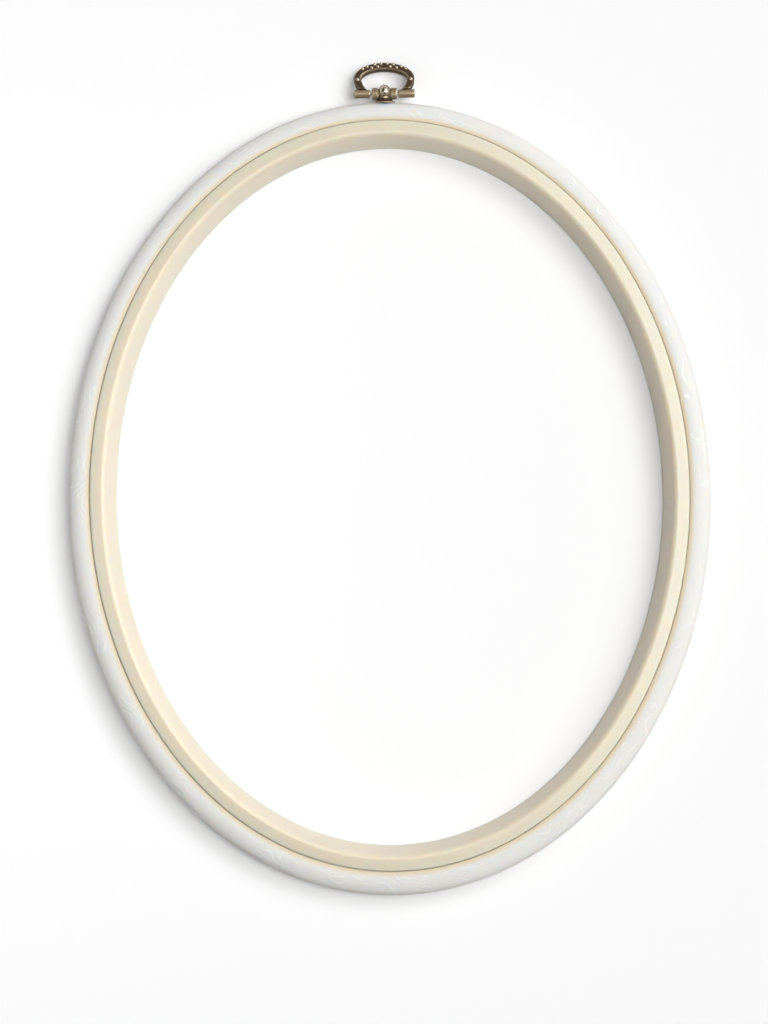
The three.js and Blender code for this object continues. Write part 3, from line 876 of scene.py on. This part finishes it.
def moulded_vinyl(node, shader, colours):
    """Soft moulded PVC with a wood grain cut into its mould: satin and see-into, with faint strokes
    about 0.4 mm wide and 2 mm apart that slant and close into arches, and patches left plain"""
    place = node("Attribute", attribute_name="ring_place")["Vector"]
    # The grain wanders sideways over about 12 mm, which bends its lines into arches and slants
    wander = node("TexNoise", {"Vector": place, "Scale": 0.085, "Detail": 1.5})["Color"]
    centred = node("VectorMath", {0: wander, 1: (0.5, 0.5, 0.5)}, operation="SUBTRACT")["Vector"]
    pushed = node("VectorMath", {0: centred, "Scale": 20}, operation="SCALE")["Vector"]
    grain_place = node("VectorMath", {0: place, 1: pushed}, operation="ADD")["Vector"]
    lines = node("TexWave", {
        "Vector": grain_place, "Scale": 0.15, "Distortion": 1.5, "Detail": 2, "Detail Scale": 0.35,
    }, wave_type="BANDS", bands_direction="Z", wave_profile="SIN")["Fac"]
    ridge = node("MapRange", {"Value": lines, "From Min": 0.86, "From Max": 1}, **SMOOTH)["Result"]
    # Strokes about 5 mm long, and none at all on patches some 15 mm wide
    strokes = node("TexNoise", {"Vector": place, "Scale": 0.2, "Detail": 1})["Fac"]
    cut_up = node("MapRange", {"Value": strokes, "From Min": 0.44, "From Max": 0.58}, **SMOOTH)["Result"]
    plain = node("TexNoise", {"Vector": place, "Scale": 0.065, "Detail": 1})["Fac"]
    shown = node("MapRange", {
        "Value": plain, "From Min": 0.42, "From Max": 0.58, "To Min": 0.12}, **SMOOTH)["Result"]
    here = node("Math", {0: cut_up, 1: shown}, operation="MULTIPLY")["Value"]
    grain = node("Math", {0: ridge, 1: here}, operation="MULTIPLY")["Value"]
    # Pores: streaks 0.2 mm wide and about 4 mm long
    stretch = node("Mapping", {"Vector": grain_place, "Scale": (0.3, 0.3, 3)})["Vector"]
    pores = node("TexNoise", {"Vector": stretch, "Scale": 1, "Detail": 3})["Fac"]
    height = node("Math", {0: pores, 1: 0.3, 2: grain}, operation="MULTIPLY_ADD")["Value"]
    tone = node("MapRange", {"Value": height, "From Min": 0.05, "From Max": 1})["Result"]
    skin = node("Mix", {FACTOR: tone, A: colours.vinyl_groove, B: colours.vinyl}, **COLOURS)[MIXED]
    # Painted warm bounce light and shade from the cream lip on the rim beside it, fading out from 0.4 to 2.2
    # mm away
    section = node("SeparateXYZ", {"Vector": place})["Z"]
    from_lip = node("Math", {0: section}, operation="ABSOLUTE")["Value"]
    bounce_mask = node("MapRange", {
        "Value": from_lip, "From Min": 0.4, "From Max": 2.2, "To Min": 0.9, "To Max": 0}, **SMOOTH)["Result"]
    with_lip_bounce = node("Mix", {FACTOR: bounce_mask, A: skin, B: colours.painted_lip_bounce}, **COLOURS)[MIXED]
    # Painted shade greys the steep outer side, which turns away from the light, from about 0.8 mm inside the
    # crest outward
    outer_shade = node("MapRange", {
        "Value": from_lip, "From Min": 6.2, "From Max": 7.6, "To Max": 0.85}, **SMOOTH)["Result"]
    shaded_skin = node("Mix", {FACTOR: outer_shade, A: with_lip_bounce, B: colours.painted_outer_shade}, **COLOURS)[MIXED]
    bump = node("Bump", {"Height": height, "Strength": 1, "Distance": 0.00004})["Normal"]
    satin = node("MapRange", {"Value": pores, "To Min": 0.42, "To Max": 0.56})["Result"]
    wire(shader, {
        "Base Color": shaded_skin, "Roughness": satin, "Normal": bump, "IOR": 1.52, "Specular IOR Level": 0.25,
        "Subsurface Weight": 1, "Subsurface Radius": (1, 0.78, 0.6), "Subsurface Scale": 0.0025,
    })


def cast_brass(node, shader, colours):
    """Antique brass: a die casting browned in a bath and rubbed back, so recesses stay dark and matt
    while beads, the ball and the sleeves show smooth grey-brown metal with broad white glints"""
    wear = node("Attribute", attribute_name="wear")["Fac"]
    place = node("TexCoord")["Object"]
    # Rubbing is uneven over about 1.5 mm, with drag marks 0.25 mm wide along the hinge
    uneven = node("TexNoise", {"Vector": place, "Scale": 700, "Detail": 4})["Fac"]
    drag = node("Mapping", {"Vector": place, "Scale": (300, 3600, 3600)})["Vector"]
    marks = node("TexNoise", {"Vector": drag, "Scale": 1, "Detail": 2})["Fac"]
    mottled = node("Math", {0: uneven, 1: marks}, operation="ADD")["Value"]
    shifted = node("Math", {0: mottled, 1: 0.14, 2: -0.14}, operation="MULTIPLY_ADD")["Value"]
    rubbed = node("Math", {0: wear, 1: shifted}, operation="ADD")["Value"]
    worn = node("MapRange", {"Value": rubbed, "From Min": 0.52, "From Max": 0.66}, **SMOOTH)["Result"]
    metal = node("Mix", {FACTOR: worn, A: colours.brass_dark, B: colours.brass_worn}, **COLOURS)[MIXED]
    polished = node("MapRange", {"Value": rubbed, "From Min": 0.72, "From Max": 0.88}, **SMOOTH)["Result"]
    surface = node("Mix", {FACTOR: polished, A: metal, B: colours.brass_bright}, **COLOURS)[MIXED]
    shine = node("MapRange", {"Value": polished, "To Min": 0.56, "To Max": 0.26})["Result"]
    # Sand of the mould, 0.15 mm
    sand = node("TexNoise", {"Vector": place, "Scale": 5000, "Detail": 2})["Fac"]
    bump = node("Bump", {"Height": sand, "Strength": 0.4, "Distance": 0.00002})["Normal"]
    wire(shader, {"Base Color": surface, "Roughness": shine, "Normal": bump, "Metallic": 1})


def zinc_plated_steel(node, shader, colours):
    """Barrel plated steel: bright and a little cloudy"""
    place = node("TexCoord")["Object"]
    # Clouding of the plating, 1 mm
    cloud = node("TexNoise", {"Vector": place, "Scale": 1000, "Detail": 3})["Fac"]
    shine = node("MapRange", {"Value": cloud, "To Min": 0.25, "To Max": 0.42})["Result"]
    tint = node("Mix", {FACTOR: cloud, A: colours.steel, B: colours.steel_cloud}, **COLOURS)[MIXED]
    bump = node("Bump", {"Height": cloud, "Strength": 0.3, "Distance": 0.00001})["Normal"]
    wire(shader, {"Base Color": tint, "Roughness": shine, "Normal": bump, "Metallic": 1})


def seen_directly(node):
    """1 for the camera and for what mirrors or shines through, and 0 for the light on the hoop"""
    ray = node("LightPath")
    mirrored = node("Math", {0: ray["Is Glossy Ray"], 1: ray["Is Transmission Ray"]}, operation="MAXIMUM")
    return node("Math", {0: ray["Is Camera Ray"], 1: mirrored["Value"]}, operation="MAXIMUM")["Value"]


def white_board(node, shader, colours):
    """Matt white board. The camera, and what mirrors or shines through, sees it lifted to the white of
    a lit studio sweep, with the hoop's shadow kept."""
    place = node("TexCoord")["Object"]
    # Fibres of the board, 1 mm
    fibre = node("TexNoise", {"Vector": place, "Scale": 900, "Detail": 3})["Fac"]
    roughness = node("MapRange", {"Value": fibre, "To Min": 0.8, "To Max": 0.95})["Result"]
    wire(shader, {"Base Color": colours.table, "Roughness": roughness, "Specular IOR Level": 0})
    table_lift = bpy.context.scene.hoop_stage.table_lift
    lift = node("Math", {0: seen_directly(node), 1: table_lift}, operation="MULTIPLY")["Value"]
    glow = node("Emission", {"Color": (1, 1, 1, 1), "Strength": lift})["Emission"]
    both = node("AddShader", {0: shader.outputs["BSDF"], 1: glow})["Shader"]
    wire(shader.id_data.nodes["Material Output"], {"Surface": both})


MATERIALS = {
    "cream_plastic": ("Injection Moulded ABS", moulded_abs),
    "white_soft_plastic": ("Moulded Soft Vinyl", moulded_vinyl),
    "antique_brass": ("Antiqued Cast Brass", cast_brass),
    "plated_steel": ("Zinc Plated Steel", zinc_plated_steel),
    "table": ("White Board", white_board),
}


def material_of(slot):
    """The material of a slot, built when a piece first asks for it"""
    name, build = MATERIALS[slot]
    material = bpy.data.materials.get(name)
    if not material:
        material = bpy.data.materials.new(name)
        material.use_nodes = True
        tree = material.node_tree
        codes = bpy.context.scene.hoop_colours
        colours = {key: linear(getattr(codes, key)) for key in codes.__annotations__}
        build(partial(add_node, tree), tree.nodes["Principled BSDF"], SimpleNamespace(**colours))
    return material


# Stage

def soft_lamp(name, place, target, size, power):
    """A round soft box that faces its target"""
    bpy.ops.object.light_add(type="AREA", location=place)
    lamp = bpy.context.object
    lamp.name = name
    lamp.rotation_euler = (place - target).to_track_quat("Z", "Y").to_euler()
    lamp.data.shape = "DISK"
    lamp.data.size, lamp.data.energy = size, power


class HOOP_OT_stage(Operator):
    """White table, soft lamps on the right, at the upper right and high up, a card on the left, dim
    light from all round with pale walls to see, and the camera above"""
    bl_idname = "hoop.stage"
    bl_label = "Stage"

    def execute(self, context):
        settings = context.scene.hoop_stage

        clear_selection()
        bpy.ops.mesh.primitive_plane_add(size=settings.table_size, location=(0, 0, -settings.table_drop))
        table = bpy.context.object
        table.name = "table"
        apply_place(table)
        table.data.materials.append(material_of("table"))

        for name, elevation, azimuth, width, power in (
            ("side_lamp", settings.lamp_elevation, 0, settings.side_size, settings.side_watts),
            ("corner_lamp", settings.lamp_elevation, settings.corner_azimuth, settings.lamp_size,
             settings.corner_watts),
            ("top_lamp", settings.top_elevation, 0, settings.lamp_size, settings.top_watts),
        ):
            flat = math.cos(elevation)
            towards = Vector((flat * math.cos(azimuth), flat * math.sin(azimuth), math.sin(elevation)))
            soft_lamp(name, RINGS_MIDDLE + towards * settings.lamp_distance, RINGS_MIDDLE, width, power)
        card_at = RINGS_MIDDLE + Vector(settings.card_place)
        left_wall = RINGS_MIDDLE + Vector((INNER_LOW.x, 0, 0))
        soft_lamp("card", card_at, left_wall, settings.card_size, settings.card_watts)

        world = bpy.data.worlds.new("White Room")
        context.scene.world = world
        world.use_nodes = True
        node = partial(add_node, world.node_tree)
        # Pale walls that fade out between 9 and 27 degrees above the floor, seen but not lighting the hoop
        direction = node("TexCoord")["Generated"]
        up = node("SeparateXYZ", {"Vector": direction})["Z"]
        walls = node("MapRange", {
            "Value": up, "From Min": 0.15, "From Max": 0.45,
            "To Min": settings.wall_strength, "To Max": settings.sky_strength,
        }, **SMOOTH)["Result"]
        sky = settings.sky_strength
        light = node("Mix", {"Factor": seen_directly(node), "A": sky, "B": walls})["Result"]
        wire(world.node_tree.nodes["Background"], {"Color": (1, 1, 1, 1), "Strength": light})

        aim = RINGS_MIDDLE + Vector(settings.aim)
        back = Vector((0, -math.sin(settings.camera_tilt), math.cos(settings.camera_tilt)))
        bpy.ops.object.camera_add(location=aim + back * settings.camera_distance)
        camera = bpy.context.object
        camera.name = "camera"
        turned = back.to_track_quat("Z", "Y").to_matrix() @ Matrix.Rotation(-settings.camera_roll, 3, "Z")
        camera.rotation_euler = turned.to_euler()
        camera.data.lens = settings.camera_lens
        camera.data.clip_start, camera.data.clip_end = 0.05, 10
        context.scene.camera = camera
        context.scene.view_settings.view_transform = "Standard"
        return {"FINISHED"}


# Panel and running

OPERATORS = (
    HOOP_OT_stage, HOOP_OT_inner_ring, HOOP_OT_outer_ring, HOOP_OT_hanger_post, HOOP_OT_bail,
    HOOP_OT_hinge_pin, HOOP_OT_fixing_screw,
)
GROUPS = {
    "hoop_rings": HoopRingSizes,
    "hoop_hanger": HoopHangerSizes,
    "hoop_screw": HoopScrewSizes,
    "hoop_colours": HoopColours,
    "hoop_stage": HoopStageSettings,
}


class HOOP_PT_pieces(Panel):
    """The hoop's pieces, each built by its own button"""
    bl_idname = "HOOP_PT_pieces"
    bl_label = "Embroidery Hoop"
    bl_space_type = "VIEW_3D"
    bl_region_type = "UI"
    bl_category = "Hoop"

    def draw(self, context):
        for operator in OPERATORS:
            self.layout.operator(operator.bl_idname)
        for name, group in GROUPS.items():
            box = self.layout.box()
            for size in group.__annotations__:
                box.prop(getattr(context.scene, name), size)


def register():
    for item in (*GROUPS.values(), *OPERATORS, HOOP_PT_pieces):
        bpy.utils.register_class(item)
    for name, group in GROUPS.items():
        setattr(bpy.types.Scene, name, PointerProperty(type=group))


def unregister():
    for name in GROUPS:
        delattr(bpy.types.Scene, name)
    for item in reversed((*GROUPS.values(), *OPERATORS, HOOP_PT_pieces)):
        bpy.utils.unregister_class(item)


def main():
    register()
    for operator in OPERATORS:
        getattr(bpy.ops.hoop, operator.bl_idname.removeprefix("hoop."))()
    clear_selection()


if __name__ == "__main__":
    main()
